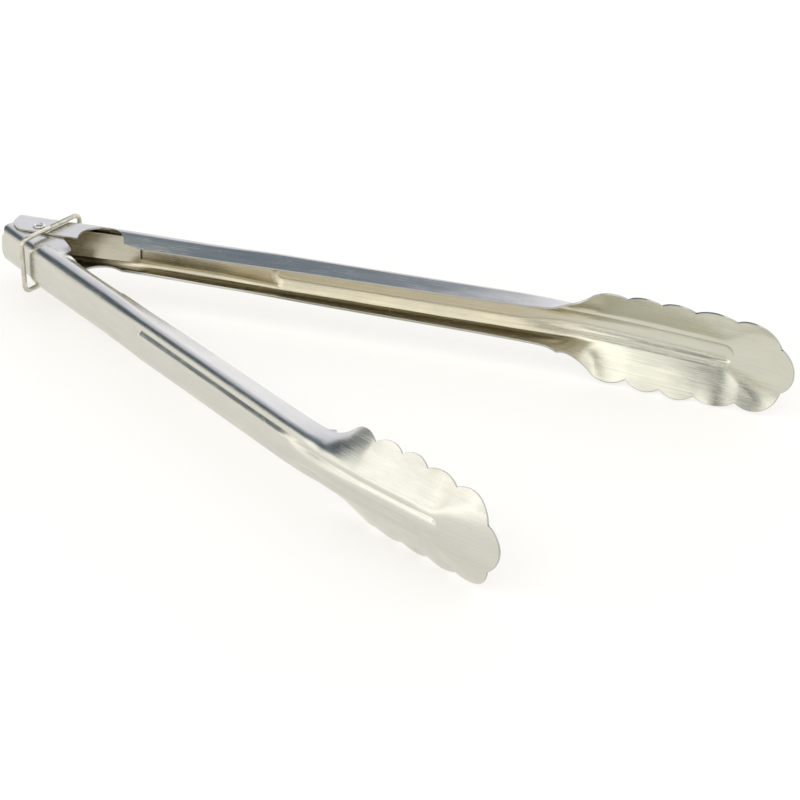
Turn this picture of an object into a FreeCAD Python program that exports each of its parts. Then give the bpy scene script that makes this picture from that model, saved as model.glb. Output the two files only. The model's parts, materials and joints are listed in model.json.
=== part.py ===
"""Spring loaded kitchen tongs: two pressed sheet arms, a pivot rivet, a leaf spring and a lock ring.

Every arm is described in its own plan: u runs from the pivot axis along the arm, v points away from
the other arm, z is up along the pivot axis. The outer arm leans to +Y and the inner arm to -Y.
All lengths are in millimetres and all angles in degrees.
"""
import FreeCAD, Part
import math
import os

V = FreeCAD.Vector

# ---- driving dimensions -------------------------------------------------------------------------
open_half_angle = 18.1      # each arm's web direction from the middle plane, tongs sprung open
sheet = 0.8                 # sheet thickness of both arms
web_v = 11.5                # pivot axis to the web's outer face
web_flat = 3.9              # half width of the web's flat part
corner_radius = 4.2         # outer radius between the web and each flange

# hinge end
ear_edge_v = -4.5           # inner edge of the flat ears
ear_tail_u = -10.65         # hinge end of the outer arm
inner_tail_u = -9.9         # hinge end of the inner arm
ear_corner = 7.0            # rounding of the outer arm's ears in plan
inner_ear_corner = 6.5
tail_round, inner_tail_round = 2.5, 0.6             # rounding of the tails beside the web
tail_notch = 1.7            # depth of the two notches beside the rounded tab of the inner arm's web
tail_notch_z, tail_notch_end_z = 4.75, 6.45
notch_u, notch_v, notch_radius = 24.4, -0.4, 8.2    # round notch between ears and flanges, outer arm
inner_ear_bend_u = 6.0      # from here the inner ears' edge runs obliquely to their nose
inner_nose_u, inner_nose_v = 20.8, -1.0
inner_notch_u, inner_notch_v = 22.6, 2.6            # shallow notch behind the inner ears' nose
inner_relief_v = 2.1        # the inner arm's flanges are cut back to here near the hinge
inner_relief_start_u, inner_relief_end_u = 34.0, 60.5
swage_depth = 0.9           # how far the inner arm's hinge end is pressed in, to fit inside the ears
inner_web_extra = 0.5       # the inner arm's web stands further out at the hinge, gone at inner_level_u
inner_level_u = 30.0
swage_edge_v = 5.3          # the inner arm's flanges are pressed in up to here beside the outer ears
swage_edge_slope = 0.155    # and this much closer to the edge per millimetre past swage_flange_u
swage_web_u = 9.0           # start of the shoulder on the web
swage_flange_u = 13.5       # start of the shoulder on the flanges
swage_run = 2.2             # length of the shoulder's slope

# raised panel that runs on into the head's rib
panel_start_u, panel_end_length = 86.6, 4.2
panel_half_width, panel_rise = 5.4, 1.6
panel_crown_half_width, panel_crown_rise = 3.9, 0.25
rib_start_u, rib_run = 179.0, 20.0
rib_end_u = 262.6
rib_half_width, rib_rise = 3.7, 1.0
neck_rib_rise = 1.45        # the rib stands higher at the neck and evens out by neck_rib_end_u
neck_rib_start_u, neck_rib_end_u = 200.0, 236.0

# head outline, seen square to the web: cusps between the lobes as (u, half width)
neck_u = 194.0
cusps = [(223.4, 15.8), (236.4, 16.5), (249.3, 16.3), (264.6, 15.7), (281.1, 8.7)]
neck_end = (210.7, 15.3)    # the neck's flare ends in the first lobe here
first_lobe_top = (217.2, 17.5)
side_lobe_rise = 2.0        # height of a side lobe over the chord between its cusps
corner_lobe_rise = 4.4
tip_lobe_rise = 5.1

# pivot rivet, lock ring and leaf spring
shank_radius = 1.8
rivet_clearance = 0.05
rivet_head_radius, rivet_head_height = 3.2, 1.0
clinch_radius, clinch_height = 2.3, 0.5
rivet_hole_radius, rivet_hole_depth = 1.1, 1.7
face_gap = 0.1              # axial play between the rivet's heads and the ears
wire_radius = 0.9
ring_half_width = 15.7      # to the wire's centre line, along Y
ring_half_height = 9.85     # to the wire's centre line
ring_bend = 2.6             # centre line radius of the ring's corners
ring_x, ring_y, ring_z = 6.4, -0.4, -0.5            # ring's middle from the pivot axis
ring_lean = 4.2             # the hanging ring leans back at the top
butt_gap = 0.15             # joint of the bent wire, in the middle of the top leg
leaf_thickness = 0.6
leaf_half_width = 5.1
leaf_tip_u, leaf_tip_v = 35.7, 9.9
leaf_bend_radius = 7.0
leaf_clip = 1.4             # clipped corners at the leaf's ends

half_height = web_flat + corner_radius

# The arm's cross section at some stations, worked along the outer skin from the web's middle:
# u, web level v, flat half width, corner radius, turn of the corner, straight flange length
stations = [
    (-12.0, 10.8, 3.3, 4.8, 90.0, 12.5),
    (0.0, 10.9, 3.4, 4.7, 90.0, 12.5),
    (18.0, 11.2, 3.9, 4.2, 90.0, 12.5),
    (31.0, 11.45, 3.9, 4.2, 119.0, 3.8),
    (36.0, 11.48, 3.9, 4.2, 120.2, 4.3),
    (40.0, 11.5, 3.9, 4.2, 120.5, 4.8),
    (62.0, 11.5, 3.9, 4.2, 117.6, 4.9),
    (92.0, 11.5, 5.1, 3.0, 108.4, 6.8),
    (110.0, 11.5, 5.1, 3.0, 105.9, 6.87),
    (180.0, 11.5, 5.4, 2.7, 97.3, 7.13),
    (193.0, 11.45, 4.8, 3.2, 92.1, 6.7),
    (203.0, 11.15, 3.8, 4.3, 65.0, 9.4),
    (212.0, 10.5, 3.8, 4.6, 42.0, 14.0),
    (218.0, 9.97, 3.8, 4.8, 36.6, 15.5),
    (223.0, 9.5, 3.8, 5.0, 34.5, 16.0),
    (236.0, 7.8, 3.8, 5.0, 33.5, 16.0),
    (249.0, 5.9, 3.6, 5.5, 31.0, 16.0),
    (258.0, 4.5, 2.6, 8.0, 27.0, 15.0),
    (266.0, 2.95, 1.4, 20.0, 28.0, 9.5),
    (275.0, 0.5, 1.2, 27.0, 30.0, 5.5),
    (290.0, -5.6, 1.2, 29.0, 30.0, 4.6),
]


def ease(t):
    """Smooth step from 0 to 1."""
    t = min(1.0, max(0.0, t))
    return t * t * (3.0 - 2.0 * t)


def station_at(u):
    """The section's five values at u, by a smooth monotone curve through the stations."""
    k = 0
    while k < len(stations) - 2 and u > stations[k + 1][0]:
        k += 1
    left, right = stations[k], stations[k + 1]
    span = right[0] - left[0]
    t = (u - left[0]) / span
    values = []
    for i in range(1, len(left)):
        slope = (right[i] - left[i]) / span
        ends = []
        for here, before, after in ((left, stations[max(k - 1, 0)], right),
                                    (right, left, stations[min(k + 2, len(stations) - 1)])):
            if before is here or after is here:
                ends.append(slope)
                continue
            a = (here[i] - before[i]) / (here[0] - before[0])
            b = (after[i] - here[i]) / (after[0] - here[0])
            ends.append(2.0 * a * b / (a + b) if a * b > 0.0 else 0.0)
        values.append(left[i] * (1 + 2 * t) * (1 - t) ** 2 + right[i] * t * t * (3 - 2 * t)
                      + span * (ends[0] * t * (1 - t) ** 2 - ends[1] * t * t * (1 - t)))
    return values


def skin_point(u, s):
    """Outer skin at distance s from the web's middle: (v, z, normal angle)."""
    level, flat, radius, turn, straight = station_at(u)
    turn = math.radians(turn)
    side = 1.0 if s >= 0 else -1.0
    run = abs(s)
    if run <= flat:
        return level, side * run, 0.0
    angle = min((run - flat) / radius, turn)
    v = level - radius + radius * math.cos(angle)
    z = flat + radius * math.sin(angle)
    rest = run - flat - radius * turn
    if rest > 0:
        v -= rest * math.sin(turn)
        z += rest * math.cos(turn)
    return v, side * z, side * angle


def panel_height(u, s):
    """Rise of the arm's raised panel: a slightly crowned top between straight flanks."""
    before = max(0.0, panel_start_u + panel_end_length - u) / panel_end_length
    away = math.hypot(s, before * panel_half_width)
    if away >= panel_half_width:
        return 0.0
    shoulder = panel_rise - panel_crown_rise
    if away > panel_crown_half_width:
        return shoulder * (panel_half_width - away) / (panel_half_width - panel_crown_half_width)
    return shoulder + panel_crown_rise * (1.0 - (away / panel_crown_half_width) ** 2)


def rib_height(u, s):
    """Rise of the arm's panel and of the half round rib that it runs into."""
    change = ease((u - rib_start_u) / rib_run)
    away = math.hypot(s, max(0.0, u - rib_end_u + rib_half_width))
    fade = ease((u - neck_rib_start_u) / (neck_rib_end_u - neck_rib_start_u))
    rise = neck_rib_rise + (rib_rise - neck_rib_rise) * fade
    crown = (rib_half_width ** 2 + rise ** 2) / (2 * rise)
    rib = 0.0
    if away < rib_half_width:
        rib = math.sqrt(crown ** 2 - away ** 2) - (crown - rise)
    return (1.0 - change) * panel_height(u, s) + change * rib


def swage(u, v, s):
    """Depth by which the inner arm's hinge end is pressed in at this place."""
    along_web = min(1.0, abs(s) / (web_flat + corner_radius))
    start = swage_web_u + (swage_flange_u - swage_web_u) * along_web ** 2
    shoulder = ease((u - start) / swage_run)
    edge_v = swage_edge_v - swage_edge_slope * max(0.0, u - swage_flange_u)
    beside_ear = ease((v - edge_v) / 0.9)
    past_nose = ease((u - inner_nose_u - 1.5) / 4.0)
    return swage_depth * (1.0 - shoulder * max(beside_ear, past_nose))


def arm_point(u, s, depth, inner):
    """A point of the arm, depth below the outer skin."""
    v, z, angle = skin_point(u, s)
    off = rib_height(u, s) - depth
    if inner:
        off -= swage(u, v, s)
        v += inner_web_extra * (1.0 - ease(u / inner_level_u))
    return V(u, v + off * math.cos(angle), z + off * math.sin(angle))


def spaced(first, last, step):
    count = max(1, int(round((last - first) / step)))
    return [first + (last - first) * i / count for i in range(count)]


def arm_stations_u(inner):
    """Where the skins are sampled along the arm: closer together where the shape changes."""
    places = spaced(ear_tail_u - 1.2, 8.0, 3.0)
    places += spaced(8.0, 36.0, 1.4 if inner else 3.0)
    places += spaced(36.0, panel_start_u - 2, 12.0) + spaced(panel_start_u - 2, panel_start_u + 8, 1.25)
    places += spaced(panel_start_u + 8, 176.0, 12.0) + spaced(176.0, 254.0, 3.0)
    places += spaced(254.0, 266.0, 1.2) + spaced(266.0, 288.5, 2.5) + [288.5]
    return places


def across(u):
    """Distances across the half section: fixed over the rib, then spread evenly to the edge."""
    level, flat, radius, turn, straight = station_at(u)
    edge = flat + radius * math.radians(turn) + straight
    rib = [0.0, 1.3, 2.6, 3.5, 3.9, 4.3, 4.7, 5.1, 5.4, 5.7, 6.2]
    outer = [rib[-1] + (edge - rib[-1]) * i / 11.0 for i in range(1, 12)]
    half = rib + outer
    return [-s for s in reversed(half[1:])] + half


def skin_surface(depth, inner):
    grid = [[arm_point(u, s, depth, inner) for s in across(u)] for u in arm_stations_u(inner)]
    surface = Part.BSplineSurface()
    surface.interpolate(grid)
    return surface


def sheet_solid(inner):
    """The pressed sheet between its two skins, before its outline is cut."""
    outside = skin_surface(0.0, inner)
    inside = skin_surface(sheet, inner)
    faces = [outside.toShape(), inside.toShape()]
    u0, u1, v0, v1 = outside.bounds()
    w0, w1, x0, x1 = inside.bounds()
    for a, b in ((u0, w0), (u1, w1)):
        faces.append(Part.makeRuledSurface(outside.uIso(a).toShape(), inside.uIso(b).toShape()))
    for a, b in ((v0, x0), (v1, x1)):
        faces.append(Part.makeRuledSurface(outside.vIso(a).toShape(), inside.vIso(b).toShape()))
    shell = Part.makeShell(faces)
    shell.sewShape()
    solid = Part.makeSolid(shell)
    if solid.Volume < 0:
        solid.reverse()
    return solid


def arc_over(start, end, rise):
    """Arc between two outline points, bulging to the left of the way from start to end."""
    chord = end - start
    middle = (start + end) * 0.5
    out = V(-chord.z, 0, chord.x)
    out.normalize()
    return Part.Arc(start, middle + out * rise, end).toShape()


def traced_face(start, steps):
    """Face of a closed outline: a step is the next corner, or an arc's middle and end."""
    edges = []
    here = start
    for step in steps + [start]:
        if isinstance(step, tuple):
            edges.append(Part.Arc(here, step[0], step[1]).toShape())
            here = step[1]
        else:
            edges.append(Part.LineSegment(here, step).toShape())
            here = step
    return Part.Face(Part.Wire(edges))


def head_outline():
    """The scalloped outline as a prism across v: what lies outside it is trimmed away."""
    clear = 25.0
    back, front = neck_u - 8.0, neck_u + 3.0
    neck_z = half_height + 1.0
    points = [V(u, 0, z) for u, z in cusps]
    flare = V(neck_end[0], 0, neck_end[1])
    edges = [Part.LineSegment(V(-60, 0, clear), V(back, 0, clear)).toShape(),
             Part.LineSegment(V(back, 0, clear), V(back, 0, neck_z)).toShape(),
             Part.LineSegment(V(back, 0, neck_z), V(front, 0, neck_z)).toShape(),
             Part.Arc(V(front, 0, neck_z), V(204.4, 0, 11.2), flare).toShape(),
             Part.Arc(flare, V(first_lobe_top[0], 0, first_lobe_top[1]), points[0]).toShape()]
    for a, b in zip(points[:-1], points[1:]):
        edges.append(arc_over(a, b, corner_lobe_rise if b is points[-1] else side_lobe_rise))
    lower = [edge.mirror(V(0, 0, 0), V(0, 0, 1)) for edge in edges]
    last = points[-1]
    edges.append(arc_over(last, V(last.x, 0, -last.z), tip_lobe_rise))
    edges.append(Part.LineSegment(V(-60, 0, clear), V(-60, 0, -clear)).toShape())
    prism = Part.Face(Part.Wire(Part.__sortEdges__(edges + lower))).extrude(V(0, 60, 0))
    prism.translate(V(0, -30, 0))
    return prism


def plan_outline(inner):
    """Plan area that the arm may fill, over its whole height: rounded tail, ears and notches."""
    far_u, far_v = 400.0, 30.0
    tail = inner_tail_u if inner else ear_tail_u
    back = web_v - 0.6 - (swage_depth - inner_web_extra if inner else 0.0)
    front_round, back_round = ((inner_ear_corner, inner_tail_round) if inner
                               else (ear_corner, tail_round))
    bulge = math.sqrt(0.5)
    front = V(tail + front_round, ear_edge_v + front_round, 0)
    rear = V(tail + back_round, back - back_round, 0)
    start = V(front.x, ear_edge_v, 0)
    steps = [
        (front + V(-bulge, -bulge, 0) * front_round, V(tail, front.y, 0)),
        V(tail, rear.y, 0),
        (rear + V(-bulge, bulge, 0) * back_round, V(rear.x, back, 0)),
        V(rear.x, far_v, 0),
        V(far_u, far_v, 0),
        V(far_u, -far_v, 0),
    ]
    if inner:
        middle_u = (inner_notch_u + inner_relief_start_u) / 2
        steps += [
            V(inner_relief_end_u + 1.2, -far_v, 0),
            V(inner_relief_end_u + 1.2, inner_relief_v - 1.4, 0),
            V(inner_relief_end_u, inner_relief_v, 0),
            V(inner_relief_start_u, inner_relief_v, 0),
            (V(middle_u, inner_relief_v - 0.5, 0), V(inner_notch_u, inner_notch_v, 0)),
            V(inner_nose_u, inner_nose_v, 0),
            V(inner_ear_bend_u, ear_edge_v, 0),
        ]
    else:
        nose = notch_u - math.sqrt(notch_radius ** 2 - (ear_edge_v - notch_v) ** 2)
        end = V(notch_u + notch_radius, notch_v, 0)
        steps += [
            V(end.x, -far_v, 0),
            end,
            (V(notch_u, notch_v + notch_radius, 0), V(nose, ear_edge_v, 0)),
        ]
    prism = traced_face(start, steps).extrude(V(0, 0, 60))
    prism.translate(V(0, 0, -30))
    return prism


def tail_trim():
    """What the notches and the rounded tab at the inner arm's hinge end take away from the web."""
    notch = inner_tail_u + tail_notch
    clear = V(inner_tail_u - 10.0, 0, -tail_notch_end_z)
    steps = [
        V(inner_tail_u, 0, -tail_notch_end_z),
        V(notch, 0, -tail_notch_z),
        (V(inner_tail_u, 0, 0), V(notch, 0, tail_notch_z)),
        V(inner_tail_u, 0, tail_notch_end_z),
        V(clear.x, 0, tail_notch_end_z),
    ]
    return traced_face(clear, steps).extrude(V(0, 30, 0))


def arm_plan(inner):
    """An arm in its own plan coordinates."""
    arm = sheet_solid(inner).common(head_outline()).common(plan_outline(inner))
    if inner:
        arm = arm.cut(tail_trim())
    hole = Part.makeCylinder(shank_radius + rivet_clearance, 60, V(0, 0, -30))
    return arm.cut(hole)


def place_arm(arm, side):
    """Turn an arm from its plan to the open position; side is +1 for +Y and -1 for -Y."""
    placed = arm.copy()
    placed.rotate(V(0, 0, 0), V(0, 0, 1), open_half_angle)
    return placed if side > 0 else placed.mirror(V(0, 0, 0), V(0, 1, 0))


def pivot_rivet():
    """Semi tubular rivet: plain head below, hollow end clinched over above."""
    face = half_height + face_gap
    dome = rivet_head_height
    r = rivet_head_radius
    bottom = -face
    profile = [
        Part.LineSegment(V(0, 0, bottom - dome), V(r * 0.45, 0, bottom - dome)).toShape(),
        Part.Arc(V(r * 0.45, 0, bottom - dome), V(r * 0.86, 0, bottom - dome * 0.72),
                 V(r, 0, bottom - dome * 0.2)).toShape(),
        Part.LineSegment(V(r, 0, bottom - dome * 0.2), V(r, 0, bottom)).toShape(),
        Part.LineSegment(V(r, 0, bottom), V(shank_radius, 0, bottom)).toShape(),
        Part.LineSegment(V(shank_radius, 0, bottom), V(shank_radius, 0, face)).toShape(),
        Part.LineSegment(V(shank_radius, 0, face), V(clinch_radius, 0, face)).toShape(),
        Part.Arc(V(clinch_radius, 0, face), V(clinch_radius - 0.1, 0, face + clinch_height * 0.75),
                 V(clinch_radius - 0.45, 0, face + clinch_height)).toShape(),
        Part.LineSegment(V(clinch_radius - 0.45, 0, face + clinch_height),
                         V(0, 0, face + clinch_height)).toShape(),
        Part.LineSegment(V(0, 0, face + clinch_height), V(0, 0, bottom - dome)).toShape(),
    ]
    rivet = Part.Face(Part.Wire(profile)).revolve(V(0, 0, 0), V(0, 0, 1), 360)
    top = face + clinch_height
    blind = Part.makeCylinder(rivet_hole_radius, rivet_hole_depth, V(0, 0, top - rivet_hole_depth))
    return rivet.cut(blind)


def lock_ring():
    """Rectangular wire ring, butt jointed in its top leg and leaning back at the top."""
    y, z, r = ring_half_width, ring_half_height, ring_bend
    inset = r * (1 - math.sqrt(0.5))
    start = V(0, y, 0)
    steps = []
    for sy, sz in ((1, 1), (-1, 1), (-1, -1), (1, -1)):
        upright = V(0, sy * y, sz * (z - r))
        level = V(0, sy * (y - r), sz * z)
        corner = V(0, sy * (y - inset), sz * (z - inset))
        first, last = (upright, level) if sy * sz > 0 else (level, upright)
        steps += [first, (corner, last)]
    path = traced_face(start, steps).OuterWire
    section = Part.Wire(Part.makeCircle(wire_radius, start, V(0, 0, 1)))
    ring = path.makePipeShell([section], True, True)
    slit = Part.makeBox(6, butt_gap, 6, V(-3, -butt_gap / 2, z - 3))
    ring = ring.cut(slit)
    ring.rotate(V(0, 0, 0), V(0, 1, 0), -ring_lean)
    ring.translate(V(ring_x, ring_y, ring_z))
    return ring


def leaf_spring():
    """One flat strip: a round bend behind the rivet and two leaves out to the webs."""
    reach = math.hypot(leaf_tip_u, leaf_tip_v)
    lean = math.atan2(leaf_tip_v, leaf_tip_u) - math.asin(leaf_bend_radius / reach)
    heading = math.radians(open_half_angle) + lean
    a = math.radians(open_half_angle)
    tip = V(leaf_tip_u * math.cos(a) - leaf_tip_v * math.sin(a),
            leaf_tip_u * math.sin(a) + leaf_tip_v * math.cos(a), 0)
    along = V(math.cos(heading), math.sin(heading), 0)
    out = V(-math.sin(heading), math.cos(heading), 0)
    leaf_length = tip.dot(along)

    sides = []
    for offset in (leaf_thickness / 2, -leaf_thickness / 2):
        radius = leaf_bend_radius + offset
        sides.append((along * leaf_length + out * radius, out * radius, V(-radius, 0, 0)))
    (tip_out, foot_out, round_out), (tip_in, foot_in, round_in) = sides

    def across_middle(p):
        return V(p.x, -p.y, 0)

    steps = [foot_out, (round_out, across_middle(foot_out)), across_middle(tip_out), across_middle(tip_in),
             across_middle(foot_in), (round_in, foot_in), tip_in]
    strip = traced_face(tip_out, steps).extrude(V(0, 0, 2 * leaf_half_width))
    strip.translate(V(0, 0, -leaf_half_width))
    reach_u, reach_z = leaf_length + 0.01, leaf_half_width + 0.01
    for up in (1, -1):
        corner = Part.makePolygon([V(reach_u, 0, up * reach_z), V(reach_u - leaf_clip, 0, up * reach_z),
                                   V(reach_u, 0, up * (reach_z - leaf_clip)), V(reach_u, 0, up * reach_z)])
        clip = Part.Face(corner).extrude(V(0, 6, 0))
        clip.translate(V(0, leaf_bend_radius - 3, 0))
        clip.rotate(V(0, 0, 0), V(0, 0, 1), math.degrees(heading))
        strip = strip.cut(clip).cut(clip.mirror(V(0, 0, 0), V(0, 1, 0)))
    return strip


def main():
    os.makedirs("parts", exist_ok=True)
    pieces = {
        "outer_arm": place_arm(arm_plan(False), 1),
        "inner_arm": place_arm(arm_plan(True), -1),
        "pivot_rivet": pivot_rivet(),
        "lock_ring": lock_ring(),
        "leaf_spring": leaf_spring(),
    }
    points = [point for shape in pieces.values() for point in shape.tessellate(0.02)[0]]
    places_x = [point.x for point in points]
    shift = V(-(min(places_x) + max(places_x)) / 2, 0, -min(point.z for point in points))
    print("pivot axis at x = %.4f mm, middle plane at z = %.4f mm" % (shift.x, shift.z))
    for name, shape in pieces.items():
        shape.translate(shift)
        print("%-12s solids %d valid %s volume %.1f mm3" % (name, len(shape.Solids), shape.isValid(),
                                                          shape.Volume))
        shape.exportStep("parts/%s.step" % name)


main()
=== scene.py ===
"""Looks of the spring loaded kitchen tongs: pressed steel arms, leaf spring, rivet and wire ring.

Each arm is worked out in its own plan, in millimetres: u runs from the pivot axis along the arm, v
points away from the other arm, z is up along the pivot axis, and s runs across the sheet from the
middle of the web. Everything is turned into the row frame, in metres, when its mesh is made.
"""
import bisect
import json
import math

import bmesh
import bpy
from mathutils import Matrix, Vector


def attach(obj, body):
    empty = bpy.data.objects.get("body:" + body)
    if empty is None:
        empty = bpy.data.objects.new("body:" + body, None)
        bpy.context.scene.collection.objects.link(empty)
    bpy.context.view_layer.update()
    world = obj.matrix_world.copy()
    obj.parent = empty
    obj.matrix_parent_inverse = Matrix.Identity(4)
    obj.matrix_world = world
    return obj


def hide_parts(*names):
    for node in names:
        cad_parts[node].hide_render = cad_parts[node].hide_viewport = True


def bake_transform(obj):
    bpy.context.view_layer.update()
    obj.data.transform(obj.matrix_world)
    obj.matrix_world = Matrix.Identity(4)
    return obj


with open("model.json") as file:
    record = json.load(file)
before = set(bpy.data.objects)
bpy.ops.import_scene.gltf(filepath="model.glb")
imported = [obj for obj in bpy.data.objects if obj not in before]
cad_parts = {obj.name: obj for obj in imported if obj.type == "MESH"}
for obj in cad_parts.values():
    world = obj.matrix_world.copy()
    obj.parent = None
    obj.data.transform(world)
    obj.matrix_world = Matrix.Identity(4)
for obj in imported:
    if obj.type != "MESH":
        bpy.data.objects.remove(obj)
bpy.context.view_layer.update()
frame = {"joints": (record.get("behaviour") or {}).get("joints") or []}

MM = 0.001
joint_of = {joint["name"]: joint for joint in frame["joints"]}
pivot = Vector(joint_of["outer_arm_close"]["pos_m"])

# ---- arms, the same driving dimensions as the CAD -------------------------------------------------
open_half_angle = math.radians(18.1)
sheet = 0.8
web_v = 11.5
web_flat, corner_radius = 3.9, 4.2
ear_edge_v = -4.5
ear_tail_u, inner_tail_u = -10.65, -9.9
ear_corner, inner_ear_corner = 7.0, 6.5
tail_round, inner_tail_round = 2.5, 0.6
tail_notch, tail_notch_z, tail_notch_end_z = 1.7, 4.75, 6.45
notch_u, notch_v, notch_radius = 24.4, -0.4, 8.2
inner_ear_bend_u = 6.0
inner_nose_u, inner_nose_v = 20.8, -1.0
inner_notch_u, inner_notch_v = 22.6, 2.6
inner_relief_v = 2.1
inner_relief_start_u, inner_relief_end_u = 34.0, 60.5
inner_hollow = [(24.5, 1.95), (28.3, 1.6), (31.5, 1.8)]
swage_depth, swage_edge_v, swage_edge_slope = 0.9, 5.3, 0.155
inner_web_extra, inner_level_u = 0.5, 30.0
swage_web_u, swage_flange_u, swage_run = 9.0, 13.5, 2.2
panel_start_u, panel_end_length = 86.6, 4.2
panel_half_width, panel_rise = 5.4, 1.6
panel_crown_half_width, panel_crown_rise = 3.9, 0.25
rib_start_u, rib_run = 179.0, 20.0
rib_end_u = 262.6
rib_half_width, rib_rise = 3.7, 1.0
neck_rib_rise, neck_rib_start_u, neck_rib_end_u = 1.45, 200.0, 236.0
neck_start, neck_middle, neck_end = (197.0, 9.1), (204.4, 11.2), (210.7, 15.3)
first_lobe_top = (217.2, 17.5)
cusps = [(223.4, 15.8), (236.4, 16.5), (249.3, 16.3), (264.6, 15.7), (281.1, 8.7)]
side_lobe_rise, corner_lobe_rise, tip_lobe_rise = 2.0, 4.4, 5.1
half_height = web_flat + corner_radius
near_hinge_u = 62.0         # the ears, notch, nose and relief all lie nearer to the hinge than this
well_inside = -9.0          # outside distance where a trim doesn't reach

# ---- rivet, lock ring and leaf spring, the same driving dimensions as the CAD ---------------------
shank_radius, rivet_clearance = 1.8, 0.05
face_gap = 0.1
wire_radius = 0.9
ring_half_width, ring_half_height, ring_bend = 15.7, 9.85, 2.6
ring_x, ring_y, ring_z = 6.4, -0.4, -0.5
ring_lean = math.radians(4.2)
butt_gap = 0.15
leaf_thickness, leaf_half_width = 0.6, 5.1
leaf_tip_u, leaf_tip_v = 35.7, 9.9
leaf_bend_radius, leaf_clip = 7.0, 1.4

# ---- looks of the sheet ---------------------------------------------------------------------------
edge_round = 0.17           # rounding of the sheet's cut edges
crease_soft = 0.3           # half width of the bend along the foot of the panel and rib
crown_soft = 0.35           # rounding of the panel's upper edges, as a height
inside_soft = 4.0           # the panel's bends are this much softer on the inside
lip_width, lip_turn = 1.3, math.radians(14.0)       # slight roll of the flanges' sheared edge
lip_end_u, lip_start_run, lip_end_run = 192.0, 6.0, 20.0

# u, web level v, flat half width, corner radius, turn of the corner, straight flange length
stations = [
    (-12.0, 10.8, 3.3, 4.8, 90.0, 12.5),
    (0.0, 10.9, 3.4, 4.7, 90.0, 12.5),
    (18.0, 11.2, 3.9, 4.2, 90.0, 12.5),
    (31.0, 11.45, 3.9, 4.2, 119.0, 3.8),
    (36.0, 11.48, 3.9, 4.2, 120.2, 4.3),
    (40.0, 11.5, 3.9, 4.2, 120.5, 4.8),
    (62.0, 11.5, 3.9, 4.2, 117.6, 4.9),
    (92.0, 11.5, 5.1, 3.0, 108.4, 6.8),
    (110.0, 11.5, 5.1, 3.0, 105.9, 6.87),
    (180.0, 11.5, 5.4, 2.7, 97.3, 7.13),
    (193.0, 11.45, 4.8, 3.2, 92.1, 6.7),
    (203.0, 11.15, 3.8, 4.3, 65.0, 9.4),
    (212.0, 10.5, 3.8, 4.6, 42.0, 14.0),
    (218.0, 9.97, 3.8, 4.8, 36.6, 15.5),
    (223.0, 9.5, 3.8, 5.0, 34.5, 16.0),
    (236.0, 7.8, 3.8, 5.0, 33.5, 16.0),
    (249.0, 5.9, 3.6, 5.5, 31.0, 16.0),
    (258.0, 4.5, 2.6, 8.0, 27.0, 15.0),
    (266.0, 2.95, 1.4, 20.0, 28.0, 9.5),
    (275.0, 0.5, 1.2, 27.0, 30.0, 5.5),
    (290.0, -5.6, 1.2, 29.0, 30.0, 4.6),
]
station_places = [station[0] for station in stations]
known_sections = {}


def add_object(name, data):
    """New object in the scene."""
    obj = bpy.data.objects.new(name, data)
    bpy.context.scene.collection.objects.link(obj)
    return obj


def ease(t):
    """Smooth step from 0 to 1."""
    t = min(1.0, max(0.0, t))
    return t * t * (3.0 - 2.0 * t)


def section(u):
    """The section's five values at u, by a smooth monotone curve through the stations."""
    if u in known_sections:
        return known_sections[u]
    last = len(stations) - 1
    k = min(last - 1, max(0, bisect.bisect_left(station_places, u) - 1))
    left, right = stations[k], stations[k + 1]
    span = right[0] - left[0]
    t = (u - left[0]) / span
    values = []
    for i in range(1, len(left)):
        slope = (right[i] - left[i]) / span
        ends = []
        for here, before, after in ((left, stations[max(k - 1, 0)], right),
                                    (right, left, stations[min(k + 2, last)])):
            if before is here or after is here:
                ends.append(slope)
                continue
            a = (here[i] - before[i]) / (here[0] - before[0])
            b = (after[i] - here[i]) / (after[0] - here[0])
            ends.append(2.0 * a * b / (a + b) if a * b > 0.0 else 0.0)
        values.append(left[i] * (1 + 2 * t) * (1 - t) ** 2 + right[i] * t * t * (3 - 2 * t)
                      + span * (ends[0] * t * (1 - t) ** 2 - ends[1] * t * t * (1 - t)))
    known_sections[u] = values
    return values


def skin_point(u, s):
    """Outer skin at distance s from the web's middle: (v, z, normal angle)."""
    level, flat, radius, turn, straight = section(u)
    turn = math.radians(turn)
    side = 1.0 if s >= 0 else -1.0
    run = abs(s)
    if run <= flat:
        return level, side * run, 0.0
    angle = min((run - flat) / radius, turn)
    v = level - radius + radius * math.cos(angle)
    z = flat + radius * math.sin(angle)
    rest = run - flat - radius * turn
    if rest > 0:
        v -= rest * math.sin(turn)
        z += rest * math.cos(turn)
    rolled = rest - straight + lip_width
    if rolled > 0:
        fade = ease((u - near_hinge_u) / lip_start_run) * ease((lip_end_u - u) / lip_end_run)
        angle += lip_turn * min(1.0, rolled / lip_width * 2) * fade
    return v, side * z, side * angle


def natural_edge(u):
    """Distance s at which the sheet ends where nothing else trims it."""
    level, flat, radius, turn, straight = section(u)
    return flat + radius * math.radians(turn) + straight


def soft_positive(value, soft):
    """max(0, value) with its corner rounded over the width soft on each side."""
    if value <= -soft:
        return 0.0
    if value >= soft:
        return value
    return (value + soft) ** 2 / (4 * soft)


def panel_height(u, s, soften):
    """Rise of the arm's raised panel: a slightly crowned top between straight flanks."""
    before = max(0.0, panel_start_u + panel_end_length - u) / panel_end_length
    away = math.hypot(s, before * panel_half_width)
    steepness = (panel_rise - panel_crown_rise) / (panel_half_width - panel_crown_half_width)
    flank = steepness * soft_positive(panel_half_width - away, crease_soft * soften)
    crown = panel_rise - panel_crown_rise * (away / panel_crown_half_width) ** 2
    return crown - soft_positive(crown - flank, crown_soft * soften) if away < panel_half_width + 1 else 0.0


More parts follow.
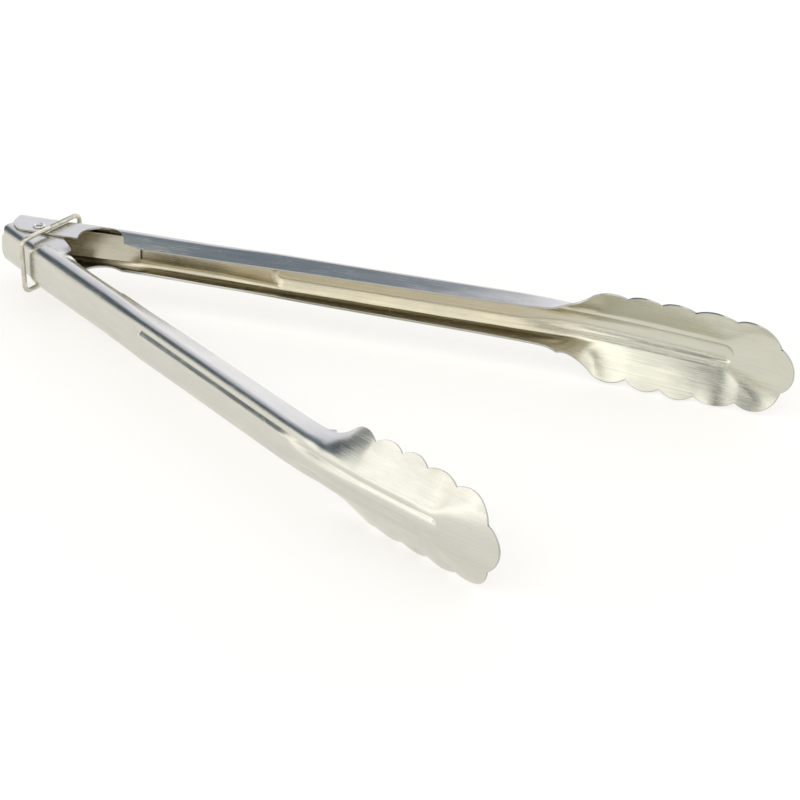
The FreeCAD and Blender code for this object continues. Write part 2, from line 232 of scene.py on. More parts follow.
def rib_height(u, s, soften=1.0):
    """Rise of the arm's panel and of the half round rib that it runs into."""
    change = ease((u - rib_start_u) / rib_run)
    away = math.hypot(s, max(0.0, u - rib_end_u + rib_half_width))
    fade = ease((u - neck_rib_start_u) / (neck_rib_end_u - neck_rib_start_u))
    rise = neck_rib_rise + (rib_rise - neck_rib_rise) * fade
    crown = (rib_half_width ** 2 + rise ** 2) / (2 * rise)
    foot = rib_half_width - crease_soft
    at_foot = math.sqrt(crown ** 2 - foot ** 2)
    if away <= foot:
        rib = math.sqrt(crown ** 2 - away ** 2) - at_foot + foot / at_foot * crease_soft
    else:
        rib = foot / at_foot * soft_positive(rib_half_width - away, crease_soft)
    return (1.0 - change) * panel_height(u, s, soften) + change * rib


def swage(u, v, s):
    """Depth by which the inner arm's hinge end is pressed in at this place."""
    along_web = min(1.0, abs(s) / (web_flat + corner_radius))
    start = swage_web_u + (swage_flange_u - swage_web_u) * along_web ** 2
    shoulder = ease((u - start) / swage_run)
    edge_v = swage_edge_v - swage_edge_slope * max(0.0, u - swage_flange_u)
    beside_ear = ease((v - edge_v) / 0.9)
    past_nose = ease((u - inner_nose_u - 1.5) / 4.0)
    return swage_depth * (1.0 - shoulder * max(beside_ear, past_nose))


def arm_point(u, s, depth, inner):
    """A point of the arm in its plan, depth below the outer skin."""
    v, z, angle = skin_point(u, s)
    soften = inside_soft if depth > 0 and u < rib_start_u + rib_run else 1.0
    off = rib_height(u, s, soften) - depth
    if inner:
        off -= swage(u, v, s)
        v += inner_web_extra * (1.0 - ease(u / inner_level_u))
    return Vector((u, v + off * math.cos(angle), z + off * math.sin(angle)))


def circle_through(a, b, c):
    """(centre u, centre z, radius) of the circle through three outline points."""
    d = 2 * (a[0] * (b[1] - c[1]) + b[0] * (c[1] - a[1]) + c[0] * (a[1] - b[1]))
    squares = [p[0] ** 2 + p[1] ** 2 for p in (a, b, c)]
    u = (squares[0] * (b[1] - c[1]) + squares[1] * (c[1] - a[1]) + squares[2] * (a[1] - b[1])) / d
    z = (squares[0] * (c[0] - b[0]) + squares[1] * (a[0] - c[0]) + squares[2] * (b[0] - a[0])) / d
    return u, z, math.hypot(a[0] - u, a[1] - z)


def lobe_circle(a, b, rise):
    """Circle of an arc from a to b that bulges outwards by rise."""
    du, dz = b[0] - a[0], b[1] - a[1]
    length = math.hypot(du, dz)
    top = ((a[0] + b[0]) / 2 - dz / length * rise, (a[1] + b[1]) / 2 + du / length * rise)
    return circle_through(a, top, b)


def head_arcs():
    """The scalloped outline as (start u, end u, centre u, centre z, radius, side of the sheet)."""
    tip = (cusps[-1][0], -cusps[-1][1])
    arcs = [(neck_start[0], neck_end[0]) + circle_through(neck_start, neck_middle, neck_end) + (-1,),
            (neck_end[0], cusps[0][0]) + circle_through(neck_end, first_lobe_top, cusps[0]) + (1,)]
    for a, b in zip(cusps[:-1], cusps[1:]):
        rise = corner_lobe_rise if b is cusps[-1] else side_lobe_rise
        arcs.append((a[0], b[0]) + lobe_circle(a, b, rise) + (1,))
    arcs.append((tip[0], tip[0] + 60.0) + lobe_circle(cusps[-1], tip, tip_lobe_rise) + (1,))
    return arcs


outline_arcs = head_arcs()


def outside_head(u, z):
    """How far a point lies outside the head's scalloped outline, negative inside."""
    for start, end, middle_u, middle_z, radius, side in outline_arcs:
        if start <= u < end:
            if side > 0 and abs(z) < middle_z:
                return -radius
            return side * (math.hypot(u - middle_u, abs(z) - middle_z) - radius)
    return well_inside


def outside_corner(u, v, corner_u, corner_v, radius):
    """Outside distance for a quarter turn towards -u and -v about a rounded corner."""
    du, dv = corner_u + radius - u, corner_v + radius - v
    if du > 0 and dv > 0:
        return math.hypot(du, dv) - radius
    return max(du, dv) - radius


def outside_tail(u, v, tail_u, back, radius):
    """Outside distance for the hinge end's rounding towards the web."""
    du, dv = tail_u + radius - u, radius + v - back
    if du > 0 and dv > 0:
        return math.hypot(du, dv) - radius
    return tail_u - u


def outside_outer_plan(u, v):
    """Outside distance for the outer arm's ears: rounded tail, straight edge and round notch."""
    back = web_v - 0.6
    tail = max(outside_corner(u, v, ear_tail_u, ear_edge_v, ear_corner),
               outside_tail(u, v, ear_tail_u, back, tail_round))
    if u > notch_u:
        tail = well_inside
    return max(tail, notch_radius - math.hypot(u - notch_u, v - notch_v))


def outside_inner_plan(u, v):
    """Outside distance for the inner arm's ears: rounded tail, slanted edge, nose and relief."""
    back = web_v - 0.6 - (swage_depth - inner_web_extra)
    if u < inner_ear_bend_u:
        return max(outside_corner(u, v, inner_tail_u, ear_edge_v, inner_ear_corner),
                   outside_tail(u, v, inner_tail_u, back, inner_tail_round))
    edge = [(inner_ear_bend_u, ear_edge_v), (inner_nose_u, inner_nose_v), (inner_notch_u, inner_notch_v),
            *inner_hollow, (inner_relief_start_u, inner_relief_v),
            (inner_relief_end_u, inner_relief_v), (inner_relief_end_u + 1.2, inner_relief_v - 1.4)]
    for a, b in zip(edge[:-1], edge[1:]):
        if a[0] <= u < b[0]:
            slope = (b[1] - a[1]) / (b[0] - a[0])
            return (a[1] + slope * (u - a[0]) - v) / math.hypot(1.0, slope)
    return well_inside


def outside_tab(u, place):
    """Outside distance for the inner arm's web at the hinge end: a rounded tab between two notches."""
    height = abs(place.z)
    radius = (tail_notch_z ** 2 + tail_notch ** 2) / (2 * tail_notch)
    if height < tail_notch_z:
        return inner_tail_u + radius - math.sqrt(radius ** 2 - height ** 2) - u
    closing = (height - tail_notch_z) / (tail_notch_end_z - tail_notch_z)
    return inner_tail_u + tail_notch * max(0.0, 1.0 - closing) - u


def outside_arm(u, s, inner):
    """Outside distance for a whole arm; the sheet is where this is negative."""
    place = arm_point(u, s, 0.0, inner)
    trims = [abs(s) - natural_edge(u), outside_head(u, place.z), well_inside]
    if inner:
        trims.append(outside_tab(u, place))
    if abs(s) > half_height - 0.1:
        trims.append(shank_radius + rivet_clearance - math.hypot(u, place.y))
    if u < near_hinge_u:
        trims.append((outside_inner_plan if inner else outside_outer_plan)(u, place.y))
    return max(trims)


def spread(first, last, step):
    """Even places from first up to, but not including, last, about step apart."""
    count = max(1, int(round((last - first) / step)))
    return [first + (last - first) * i / count for i in range(count)]


def columns():
    """Places along the arm where the mesh has a row of points, closer where the shape changes."""
    places = spread(-10.9, 37.0, 0.5) + spread(37.0, 60.0, 3.0) + spread(60.0, 62.4, 0.6)
    places += spread(62.4, 83.0, 4.0) + spread(83.0, 92.0, 0.3) + spread(92.0, 176.0, 4.0)
    places += spread(176.0, 254.0, 0.8) + spread(254.0, 264.0, 0.4) + spread(264.0, 286.6, 0.6) + [286.6]
    marks = [u for u, z in cusps] + [inner_nose_u, inner_notch_u, inner_ear_bend_u, notch_u,
                                     neck_start[0], neck_end[0], inner_relief_end_u]
    kept = [u for u in places if all(abs(u - mark) > 0.15 for mark in marks)]
    return sorted(kept + marks)


def rows():
    """Distances across the sheet where the mesh has a line of points."""
    half = spread(0.0, 2.4, 0.6) + spread(2.4, 4.2, 0.15) + spread(4.2, 5.0, 0.4) + spread(5.0, 5.8, 0.15)
    half += spread(5.8, 10.5, 0.47) + spread(10.5, 24.5, 0.8) + [24.5]
    return [-s for s in reversed(half[1:])] + half


def clipped_grid(us, ss, outside):
    """Flat mesh in (u, s) of the grid's part where outside is negative."""
    grid = bmesh.new()
    level = {(i, j): outside(u, s) for i, u in enumerate(us) for j, s in enumerate(ss)}
    corners, crossings = {}, {}

    def corner(i, j):
        """The mesh point at a place of the grid."""
        if (i, j) not in corners:
            corners[i, j] = grid.verts.new((us[i], ss[j], 0.0))
        return corners[i, j]

    def crossing(a, b):
        """The mesh point where the outline cuts the grid line from a to b."""
        key = (a, b) if a < b else (b, a)
        if key not in crossings:
            near, far = (key[0], key[1]) if level[key[0]] < 0 else (key[1], key[0])
            low = Vector((us[near[0]], ss[near[1]], 0.0))
            high = Vector((us[far[0]], ss[far[1]], 0.0))
            for _ in range(18):
                middle = (low + high) / 2
                if outside(middle.x, middle.y) < 0:
                    low = middle
                else:
                    high = middle
            crossings[key] = grid.verts.new(low)
        return crossings[key]

    for i in range(len(us) - 1):
        for j in range(len(ss) - 1):
            around = [(i, j), (i + 1, j), (i + 1, j + 1), (i, j + 1)]
            if all(level[c] >= 0 for c in around):
                continue
            loop = []
            for a, b in zip(around, around[1:] + around[:1]):
                if level[a] < 0:
                    loop.append(corner(*a))
                if (level[a] < 0) != (level[b] < 0):
                    loop.append(crossing(a, b))
            if len(loop) > 2:
                grid.faces.new(loop)
    return grid


def close_short_edges(grid, shortest):
    """Moves inner points that nearly touch the outline onto it, so that no sliver is left."""
    target = {}
    for edge in grid.edges:
        a, b = edge.verts
        if edge.calc_length() < shortest and a.is_boundary != b.is_boundary:
            inner_vert, rim_vert = (a, b) if b.is_boundary else (b, a)
            target.setdefault(inner_vert, rim_vert)
    bmesh.ops.weld_verts(grid, targetmap=target)
    short = [edge for edge in grid.edges if edge.is_boundary and edge.calc_length() < shortest / 2]
    bmesh.ops.collapse(grid, edges=short)


def sheet_mesh(name, us, ss, outside, point, placed, thickness):
    """Closed sheet metal mesh with rounded edges: two skins over the clipped grid and a rim."""
    grid = clipped_grid(us, ss, lambda u, s: outside(u, s) + edge_round)
    close_short_edges(grid, 0.06)
    step = 0.01
    points, normals, patterns = [], [], []
    skins = {}
    rims = {}
    for vert in grid.verts:
        u, s = vert.co.x, vert.co.y
        top = point(u, s, 0.0)
        along = (point(u + step, s, 0.0) - point(u - step, s, 0.0)) / (2 * step)
        across = (point(u, s + step, 0.0) - point(u, s - step, 0.0)) / (2 * step)
        normal = across.cross(along).normalized()
        bottom = point(u, s, thickness)
        along_below = point(u + step, s, thickness) - point(u - step, s, thickness)
        across_below = point(u, s + step, thickness) - point(u, s - step, thickness)
        skins[vert] = (len(points), len(points) + 1)
        points += [top, bottom]
        normals += [normal, -across_below.cross(along_below).normalized()]
        patterns += [(u, s, 0.0), (u, s, 1.0)]
        if not vert.is_boundary:
            continue
        grow_u = outside(u + step, s) - outside(u - step, s)
        grow_s = outside(u, s + step) - outside(u, s - step)
        tangent = (across * grow_u - along * grow_s).normalized()
        out = normal.cross(tangent).normalized()
        if out.dot(along * grow_u + across * grow_s) < 0:
            out = -out
        rims[vert] = len(points)
        middle = (top + bottom) / 2
        half = (top - bottom).length / 2
        for turn in (45, 90, -90, -45):
            lean = math.radians(abs(turn))
            side = 1.0 if turn > 0 else -1.0
            rise = side * (half - edge_round + edge_round * math.cos(lean))
            points.append(middle + normal * rise + out * edge_round * math.sin(lean))
            normals.append((normal * side * math.cos(lean) + out * math.sin(lean)).normalized())
            patterns.append((u, s, 0.5))
    faces = []
    for face in grid.faces:
        faces.append([skins[vert][0] for vert in face.verts])
        faces.append([skins[vert][1] for vert in reversed(face.verts)])
    for edge in grid.edges:
        if not edge.is_boundary:
            continue
        loop = edge.link_loops[0]
        a, b = loop.vert, loop.link_loop_next.vert
        line_a = [skins[a][0]] + list(range(rims[a], rims[a] + 4)) + [skins[a][1]]
        line_b = [skins[b][0]] + list(range(rims[b], rims[b] + 4)) + [skins[b][1]]
        for k in range(5):
            faces.append([line_b[k], line_a[k], line_a[k + 1], line_b[k + 1]])
    grid.free()

    mesh = bpy.data.meshes.new(name)
    mesh.from_pydata([placed @ (p * MM) for p in points], [], faces)
    turned = placed.to_3x3()
    if turned.determinant() > 0:
        mesh.flip_normals()
    mesh.shade_smooth()
    mesh.normals_split_custom_set_from_vertices([(turned @ n).normalized() for n in normals])
    pattern = mesh.attributes.new("sheet", "FLOAT_VECTOR", "POINT")
    pattern.data.foreach_set("vector", [value for place in patterns for value in place])
    return add_object(name, mesh)


def arm(name, inner):
    """One whole arm at its place in the open tongs."""
    side = -1.0 if inner else 1.0
    turn = Matrix.Rotation(open_half_angle, 4, "Z")
    mirror = Matrix.Diagonal((1.0, side, 1.0, 1.0))
    return sheet_mesh(name, columns(), rows(),
                      lambda u, s: outside_arm(u, s, inner),
                      lambda u, s, depth: arm_point(u, s, depth, inner),
                      Matrix.Translation(pivot) @ mirror @ turn, sheet)


outer = arm("outer_arm_sheet", False)
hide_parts("outer_arm")
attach(outer, "outer_arm_body")
inner = arm("inner_arm_sheet", True)
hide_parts("inner_arm")
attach(inner, "inner_arm_body")


def loft(name, loops, placed, sharp):
    """Closed mesh through loops of points, with a flat cap on its first and last loop."""
    count = len(loops[0])
    faces = [list(range(count)), [len(loops) * count - 1 - i for i in range(count)]]
    for k in range(len(loops) - 1):
        for i in range(count):
            a, b = k * count + i, k * count + (i + 1) % count
            faces.append([b, a, a + count, b + count])
    mesh = bpy.data.meshes.new(name)
    mesh.from_pydata([placed @ (p * MM) for loop in loops for p in loop], [], faces)
    tidy = bmesh.new()
    tidy.from_mesh(mesh)
    bmesh.ops.recalc_face_normals(tidy, faces=tidy.faces)
    tidy.to_mesh(mesh)
    tidy.free()
    mesh.shade_smooth()
    mesh.set_sharp_from_angle(angle=math.radians(sharp))
    return add_object(name, mesh)


def ring_mesh():
    """Bent wire ring, open at the butt joint in its top leg, its two cut ends slightly rounded."""
    inner_y, inner_z = ring_half_width - ring_bend, ring_half_height - ring_bend
    cut = [(0.0, 0.80), (0.05, 0.93), (0.14, 1.0)]
    path = [(butt_gap / 2 + run, inner_z, 90.0, size) for run, size in cut]
    for k, (side_y, side_z) in enumerate(((1, 1), (1, -1), (-1, -1), (-1, 1))):
        path += [(side_y * inner_y, side_z * inner_z, 90.0 - 90.0 * k - 7.5 * i, 1.0) for i in range(13)]
    path += [(-butt_gap / 2 - run, inner_z, 90.0, size) for run, size in reversed(cut)]
    loops = []
    for middle_y, middle_z, angle, size in path:
        out = Vector((0.0, math.cos(math.radians(angle)), math.sin(math.radians(angle))))
        centre = Vector((0.0, middle_y, middle_z)) + out * ring_bend
        loop = []
        for i in range(28):
            t = math.tau * i / 28
            loop.append(centre + (out * math.cos(t) + Vector((math.sin(t), 0.0, 0.0))) * wire_radius * size)
        loops.append(loop)
    hung = Matrix.Translation(pivot + Vector((ring_x, ring_y, ring_z)) * MM)
    return loft("lock_ring_wire", loops, hung @ Matrix.Rotation(-ring_lean, 4, "Y"), 50)


def rivet_mesh():
    """Semi tubular rivet: a domed head below and the hollow end rolled over above."""
    face = half_height + face_gap
    below = [(0.05, -1.0), (0.9, -1.0), (1.44, -0.99), (1.9, -0.96), (2.35, -0.87), (2.75, -0.71),
             (3.03, -0.48), (3.17, -0.24), (3.2, -0.1), (3.17, -0.02), (3.1, 0.0), (shank_radius, 0.0)]
    above = [(shank_radius, 0.0), (2.22, 0.0), (2.29, 0.05), (2.3, 0.14), (2.26, 0.27), (2.15, 0.39),
             (1.98, 0.47), (1.78, 0.5), (1.56, 0.48), (1.36, 0.41), (1.21, 0.3), (1.12, 0.14), (1.1, -0.02),
             (1.1, -1.0), (1.04, -1.12), (0.9, -1.18), (0.6, -1.16), (0.3, -1.12), (0.05, -1.11)]
    profile = [(r, z - face) for r, z in below] + [(r, z + face) for r, z in above]
    loops = [[Vector((r * math.cos(math.tau * i / 56), r * math.sin(math.tau * i / 56), z))
              for i in range(56)] for r, z in profile]
    return loft("pivot_rivet_turned", loops, Matrix.Translation(pivot), 50)


def leaf_mesh(name, side):
    """One half of the leaf spring: from the middle of its bend to the tip against one web."""
    reach = math.hypot(leaf_tip_u, leaf_tip_v)
    heading = (open_half_angle + math.atan2(leaf_tip_v, leaf_tip_u)
               - math.asin(leaf_bend_radius / reach))
    along = Vector((math.cos(heading), math.sin(heading), 0.0))
    out = Vector((-math.sin(heading), math.cos(heading), 0.0))
    bend = leaf_bend_radius * (math.pi / 2 - heading)
    end = bend + math.sqrt(reach ** 2 - leaf_bend_radius ** 2)
    overlap = 0.3

    def point(u, s, depth):
        """A point of the strip, depth below its outer side."""
        radius = leaf_bend_radius + leaf_thickness / 2 - depth
        if u < bend:
            turn = math.pi - u / leaf_bend_radius
            return Vector((radius * math.cos(turn), radius * math.sin(turn), s))
        return along * (u - bend) + out * radius + Vector((0.0, 0.0, s))

    def outside(u, s):
        """Outside distance for the strip with its clipped corners."""
        corner = (u - end + abs(s) - leaf_half_width + leaf_clip) / math.sqrt(2)
        return max(-overlap - u, u - end, abs(s) - leaf_half_width, corner)

    us = spread(-0.6, bend, 0.5) + spread(bend, end - 2.0, 3.0) + spread(end - 2.0, end + 0.3, 0.2)
    half = spread(0.0, 3.6, 1.2) + spread(3.6, 5.4, 0.2)
    ss = [-s for s in reversed(half[1:])] + half
    mirror = Matrix.Diagonal((1.0, side, 1.0, 1.0))
    leaf = sheet_mesh(name, us, ss, outside, point, Matrix.Translation(pivot) @ mirror, leaf_thickness)
    middle = pivot + Vector((-leaf_bend_radius, 0.0, 0.0)) * MM
    foot = pivot + mirror.to_3x3() @ out * leaf_bend_radius * MM
    return leaf, middle, foot


ring = ring_mesh()
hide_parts("lock_ring")
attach(ring, "ring_body")
rivet = rivet_mesh()
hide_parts("pivot_rivet")
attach(rivet, "hinge")
leaves = []
for leaf_name, side, body in (("leaf_spring_outer", 1.0, "outer_arm_body"),
                              ("leaf_spring_inner", -1.0, "inner_arm_body")):
    leaf, middle, foot = leaf_mesh(leaf_name, side)
    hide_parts("leaf_spring")
    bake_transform(leaf)
    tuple(middle)
    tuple(foot)
    leaves.append(leaf)

# ---- materials ------------------------------------------------------------------------------------


def link(tree, value, socket):
    """Joins an output to a socket, or sets the socket to a plain value."""
    if isinstance(value, bpy.types.NodeSocket):
        tree.links.new(value, socket)
    else:
        socket.default_value = value


def maths(tree, operation, *values):
    """Result of one maths operation on outputs or plain numbers."""
    node = tree.nodes.new("ShaderNodeMath")
    node.operation = operation
    for value, socket in zip(values, node.inputs):
        link(tree, value, socket)
    return node.outputs[0]


def ramp(tree, value, low, high, start=0.0, end=1.0):
    """Smooth step of a value from start at low to end at high."""
    node = tree.nodes.new("ShaderNodeMapRange")
    node.interpolation_type = "SMOOTHSTEP"
    for socket, number in zip(node.inputs, (value, low, high, start, end)):
        link(tree, number, socket)
    return node.outputs[0]


def mix_colour(tree, factor, a, b):
    """Colour a where factor is 0 and b where it is 1."""
    node = tree.nodes.new("ShaderNodeMix")
    node.data_type = "RGBA"
    link(tree, factor, node.inputs["Factor"])
    link(tree, a, node.inputs["A"])
    link(tree, b, node.inputs["B"])
    return node.outputs["Result"]


def noise(tree, place, stretch, detail=2.0, rough=0.5, turn=0.0):
    """Noise of a place whose axes are first turned about the third and then scaled by stretch."""
    mapping = tree.nodes.new("ShaderNodeMapping")
    mapping.vector_type = "POINT"
    turned = tree.nodes.new("ShaderNodeVectorRotate")
    turned.rotation_type = "Z_AXIS"
    turned.inputs["Angle"].default_value = math.radians(turn)
    tree.links.new(place, turned.inputs["Vector"])
    tree.links.new(turned.outputs["Vector"], mapping.inputs["Vector"])
    mapping.inputs["Scale"].default_value = stretch
    node = tree.nodes.new("ShaderNodeTexNoise")
    node.inputs["Scale"].default_value = 1.0
    node.inputs["Detail"].default_value = detail
    node.inputs["Roughness"].default_value = rough
    tree.links.new(mapping.outputs["Vector"], node.inputs["Vector"])
    return node.outputs["Fac"]


def bump(tree, height, distance, before=None):
    """Normal raised by height times distance in metres, on top of an earlier normal."""
    node = tree.nodes.new("ShaderNodeBump")
    node.inputs["Strength"].default_value = 1.0
    node.inputs["Distance"].default_value = distance
    tree.links.new(height, node.inputs["Height"])
    if before is not None:
        tree.links.new(before, node.inputs["Normal"])
    return node.outputs["Normal"]


def metal(name):
    """New metal material: its node tree and its shader."""
    material = bpy.data.materials.new(name)
    material.use_nodes = True
    shader = material.node_tree.nodes["Principled BSDF"]
    shader.inputs["Metallic"].default_value = 1.0
    return material, material.node_tree, shader


# Scratches: turn from the arm's length in degrees, stretch along and across in 1 / mm, noise threshold
scratch_sets = [(18.0, 0.09, 9.0, 0.755), (-31.0, 0.11, 8.0, 0.77), (74.0, 0.14, 7.0, 0.78)]


def sheet_steel(name, outside, inside, far_inside, edge, outside_rough, inside_rough):
    """Cold rolled stainless sheet: fine lengthwise polishing lines, faint draw lines, a few scratches.

    The sheet attribute gives the place on the sheet in mm, and 0 outside, 0.5 on the edge, 1 inside.
    """
    material, tree, shader = metal(name)
    attribute = tree.nodes.new("ShaderNodeAttribute")
    attribute.attribute_name = "sheet"
    place = attribute.outputs["Vector"]
    parts = tree.nodes.new("ShaderNodeSeparateXYZ")
    tree.links.new(place, parts.inputs[0])
    within = ramp(tree, parts.outputs["Z"], 0.7, 0.95)
    on_edge = maths(tree, "MULTIPLY", ramp(tree, parts.outputs["Z"], 0.1, 0.35),
                    ramp(tree, parts.outputs["Z"], 0.9, 0.65))

    lines = noise(tree, place, (0.035, 5.5, 9.0), 3.0, 0.6)
    draw_lines = noise(tree, place, (0.006, 1.5, 5.0), 2.0, 0.7)
    drawn = ramp(tree, draw_lines, 0.63, 0.70)
    clouds = noise(tree, place, (0.06, 0.16, 3.0), 3.0, 0.6)
    waves = noise(tree, place, (0.045, 0.11, 7.0), 1.0)
    scratches = None
    for turn, long, fine, low in scratch_sets:
        cuts = ramp(tree, noise(tree, place, (long, fine, 4.0), 1.0, 0.5, turn), low, low + 0.02)
        scratches = cuts if scratches is None else maths(tree, "MAXIMUM", scratches, cuts)

    # Painted shade: the darker golden brown inside colour stands for the shade and the golden reflections
    # inside the channel. It gives way to the lighter far inside colour from the rib's start on towards the
    # head.
    far = ramp(tree, parts.outputs["X"], rib_start_u, rib_start_u + 2 * rib_run)
    colour = mix_colour(tree, far, (*inside, 1.0), (*far_inside, 1.0))
    colour = mix_colour(tree, within, (*outside, 1.0), colour)
    tint = ramp(tree, clouds, 0.3, 0.7, 0.0, 0.20)
    colour = mix_colour(tree, tint, colour, (0.46, 0.47, 0.45, 1.0))
    colour = mix_colour(tree, ramp(tree, lines, 0.35, 0.7, 0.0, 0.16), colour, (0.86, 0.85, 0.80, 1.0))
    colour = mix_colour(tree, maths(tree, "MULTIPLY", drawn, 0.20), colour, (0.30, 0.30, 0.32, 1.0))
    colour = mix_colour(tree, maths(tree, "MULTIPLY", scratches, 0.35), colour, (0.90, 0.90, 0.88, 1.0))
    # The edge colour lies flat on the cut edges. On the arms it is darker, a painted shade that draws a
    # dark outline along the rims.
    colour = mix_colour(tree, on_edge, colour, (*edge, 1.0))
    tree.links.new(colour, shader.inputs["Base Color"])

    rough = ramp(tree, within, 0.0, 1.0, outside_rough, inside_rough)
    rough = maths(tree, "ADD", rough, ramp(tree, lines, 0.3, 0.75, -0.03, 0.06))
    rough = maths(tree, "ADD", rough, ramp(tree, clouds, 0.35, 0.75, -0.01, 0.05))
    rough = maths(tree, "ADD", rough, maths(tree, "MULTIPLY", scratches, 0.08))
    tree.links.new(rough, shader.inputs["Roughness"])

    relief = bump(tree, waves, 0.00022)
    relief = bump(tree, lines, 0.000022, relief)
    relief = bump(tree, draw_lines, 0.000012, relief)
    relief = bump(tree, scratches, -0.000006, relief)
    tree.links.new(relief, shader.inputs["Normal"])
    return material


def turned_steel(name, light, dark, rough, grain):
    """Drawn or turned steel: fine mottling and faint lines across the object, grain in mm."""
    material, tree, shader = metal(name)
    place = tree.nodes.new("ShaderNodeTexCoord").outputs["Object"]
    fine = 1.0 / (grain * MM)
    lines = noise(tree, place, (fine, 0.06 * fine, fine), 3.0, 0.6)
    clouds = noise(tree, place, (0.12 * fine, 0.12 * fine, 0.12 * fine), 2.0)
    colour = mix_colour(tree, ramp(tree, clouds, 0.35, 0.65), (*light, 1.0), (*dark, 1.0))
    colour = mix_colour(tree, ramp(tree, lines, 0.4, 0.7, 0.0, 0.3), colour, (0.85, 0.84, 0.80, 1.0))
    tree.links.new(colour, shader.inputs["Base Color"])
    tree.links.new(ramp(tree, lines, 0.3, 0.7, rough, rough + 0.12), shader.inputs["Roughness"])
    tree.links.new(bump(tree, lines, 0.000005, bump(tree, clouds, 0.00002)), shader.inputs["Normal"])
    return material


# Arms: the inside colour, a darker golden brown, is painted shade and painted golden reflection of the
# channel's inside near the hinge.
arm_steel = sheet_steel("arm_steel", (0.62, 0.61, 0.55), (0.53, 0.48, 0.35), (0.63, 0.62, 0.53),
                        # The arms' edge colour is a dark painted shade that outlines the cut edges.
                        (0.44, 0.44, 0.41), 0.21, 0.21)
# Leaf spring: both its face colours are darkened golden brown, a painted shade of the hollow between the
# arms near the hinge.
spring_steel = sheet_steel("spring_steel", (0.58, 0.54, 0.43), (0.55, 0.51, 0.40), (0.55, 0.51, 0.40),
                           (0.62, 0.60, 0.54), 0.20, 0.22)
for obj in (outer, inner):
    obj.data.materials.append(arm_steel)
for obj in leaves:
    obj.data.materials.append(spring_steel)
ring.data.materials.append(turned_steel("wire_steel", (0.60, 0.57, 0.49), (0.47, 0.44, 0.37), 0.16, 0.25))
rivet.data.materials.append(turned_steel("rivet_steel", (0.74, 0.72, 0.68), (0.62, 0.60, 0.56), 0.18, 0.3))

# ---- camera, floor and light ----------------------------------------------------------------------
camera_azimuth, camera_elevation, camera_roll = (math.radians(a) for a in (37.6474, 26.2653, 0.6843))
camera_target = pivot + Vector((179.406, -16.714, 0.0)) * MM
camera_distance = 1733.195 * MM
camera_lens = 227.8215        # mm, on a frame 36 mm wide
camera_data = bpy.data.cameras.new("camera")
camera_data.lens = camera_lens
camera_data.clip_start, camera_data.clip_end = 0.01, 100
camera = add_object("camera", camera_data)
back = Vector((math.sin(camera_azimuth) * math.cos(camera_elevation),
               -math.cos(camera_azimuth) * math.cos(camera_elevation), math.sin(camera_elevation)))
right = Vector((math.cos(camera_azimuth), math.sin(camera_azimuth), 0.0))
up = back.cross(right)
camera_right = right * math.cos(camera_roll) + up * math.sin(camera_roll)
camera_up = up * math.cos(camera_roll) - right * math.sin(camera_roll)
camera.matrix_world = Matrix.Translation(camera_target + back * camera_distance) @ Matrix(
    (camera_right, camera_up, back)).transposed().to_4x4()
bpy.context.scene.camera = camera

floor_mesh = bpy.data.meshes.new("floor")
reach = 6.0
floor_mesh.from_pydata([(-reach, -reach, 0), (reach, -reach, 0), (reach, reach, 0), (-reach, reach, 0)],
                       [], [(0, 1, 2, 3)])
floor = add_object("floor", floor_mesh)
floor_material = bpy.data.materials.new("floor")
floor_material.use_nodes = True
floor_shader = floor_material.node_tree.nodes["Principled BSDF"]
floor_shader.inputs["Base Color"].default_value = (0.45, 0.445, 0.435, 1)
floor_shader.inputs["Roughness"].default_value = 0.9
floor_shader.inputs["Emission Color"].default_value = (1.0, 0.985, 0.955, 1)
floor_shader.inputs["Emission Strength"].default_value = 0.56
floor_mesh.materials.append(floor_material)


def dot(tree, vector, direction):
    """Part of a vector along a fixed direction."""
    node = tree.nodes.new("ShaderNodeVectorMath")
    node.operation = "DOT_PRODUCT"
    tree.links.new(vector, node.inputs[0])
    node.inputs[1].default_value = direction
    return node.outputs["Value"]


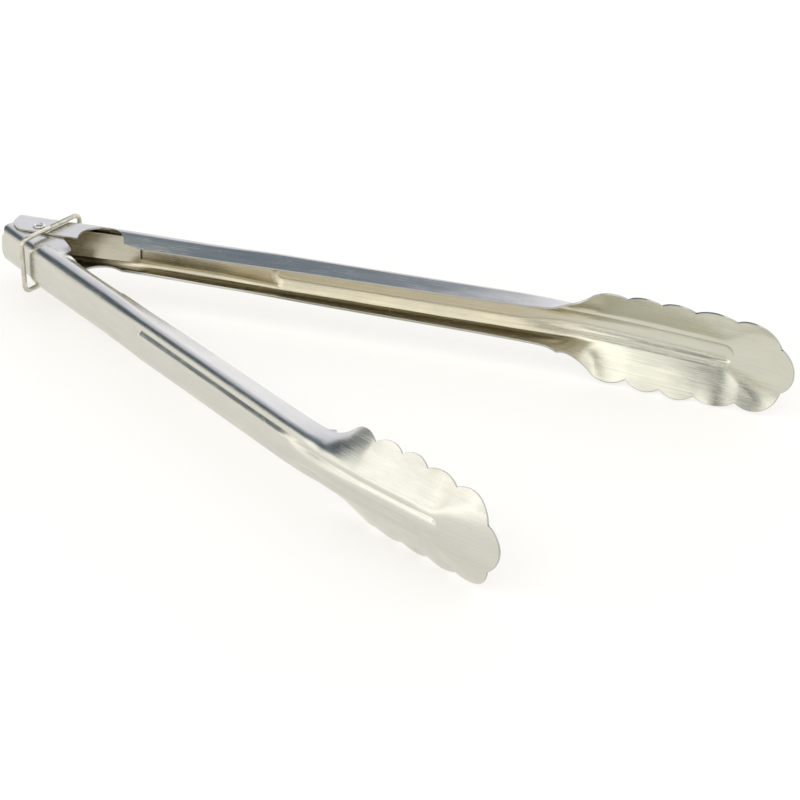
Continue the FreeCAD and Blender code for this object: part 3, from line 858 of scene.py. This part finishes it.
# A soft even studio, with darker or tinted zones at fixed places that the bare steel reflects.
# The first eight give its tones from the camera's side, and the last keeps it from washing out behind.
# Each is azimuth and elevation of the middle, half width, half height, softness (degrees), and radiance.
studio_base = (1.80, 1.775, 1.71)
studio_zones = [
    (143, 22, 24, 30, 10, (1.02, 1.03, 1.18)),
    (-70, 2, 22, 12, 8, (0.30, 0.27, 0.20)),
    (-107, 22.5, 11, 10.5, 4, (0.14, 0.16, 0.17)),
    (-142, 14.5, 5, 2.5, 2, (0.70, 0.70, 0.66)),
    (-80, 62, 12, 13, 4, (0.25, 0.24, 0.20)),
    (-161, 4, 9, 8, 6, (0.85, 0.80, 0.70)),
    (-176, 29, 20, 17, 6, (0.07, 0.10, 0.13)),
    (150, 81, 70, 40, 4, (0.21, 0.26, 0.33)),
    (25, 38, 72, 36, 14, (1.15, 1.14, 1.10)),
]
world = bpy.data.worlds.new("studio")
world.use_nodes = True
tree = world.node_tree
toward = tree.nodes.new("ShaderNodeTexCoord").outputs["Generated"]
elevation = maths(tree, "ARCSINE", dot(tree, toward, (0, 0, 1)))
light = (*studio_base, 1.0)
for azimuth, height, half_width, half_height, soft, colour in studio_zones:
    a = math.radians(azimuth)
    ahead = dot(tree, toward, (math.cos(a), math.sin(a), 0))
    aside = dot(tree, toward, (-math.sin(a), math.cos(a), 0))
    off_azimuth = maths(tree, "ABSOLUTE", maths(tree, "ARCTAN2", aside, ahead))
    off_height = maths(tree, "ABSOLUTE", maths(tree, "SUBTRACT", elevation, math.radians(height)))
    masks = [ramp(tree, off, math.radians(half + soft), math.radians(half - soft))
             for off, half in ((off_azimuth, half_width), (off_height, half_height))]
    light = mix_colour(tree, maths(tree, "MULTIPLY", *masks), light, (*colour, 1.0))
rays = tree.nodes.new("ShaderNodeLightPath")
light = mix_colour(tree, rays.outputs["Is Camera Ray"], light, (1.0, 1.0, 1.0, 1.0))
tree.links.new(light, tree.nodes["Background"].inputs["Color"])
tree.nodes["Background"].inputs["Strength"].default_value = 1.0
bpy.context.scene.world = world
bpy.context.scene.view_settings.view_transform = "Standard"
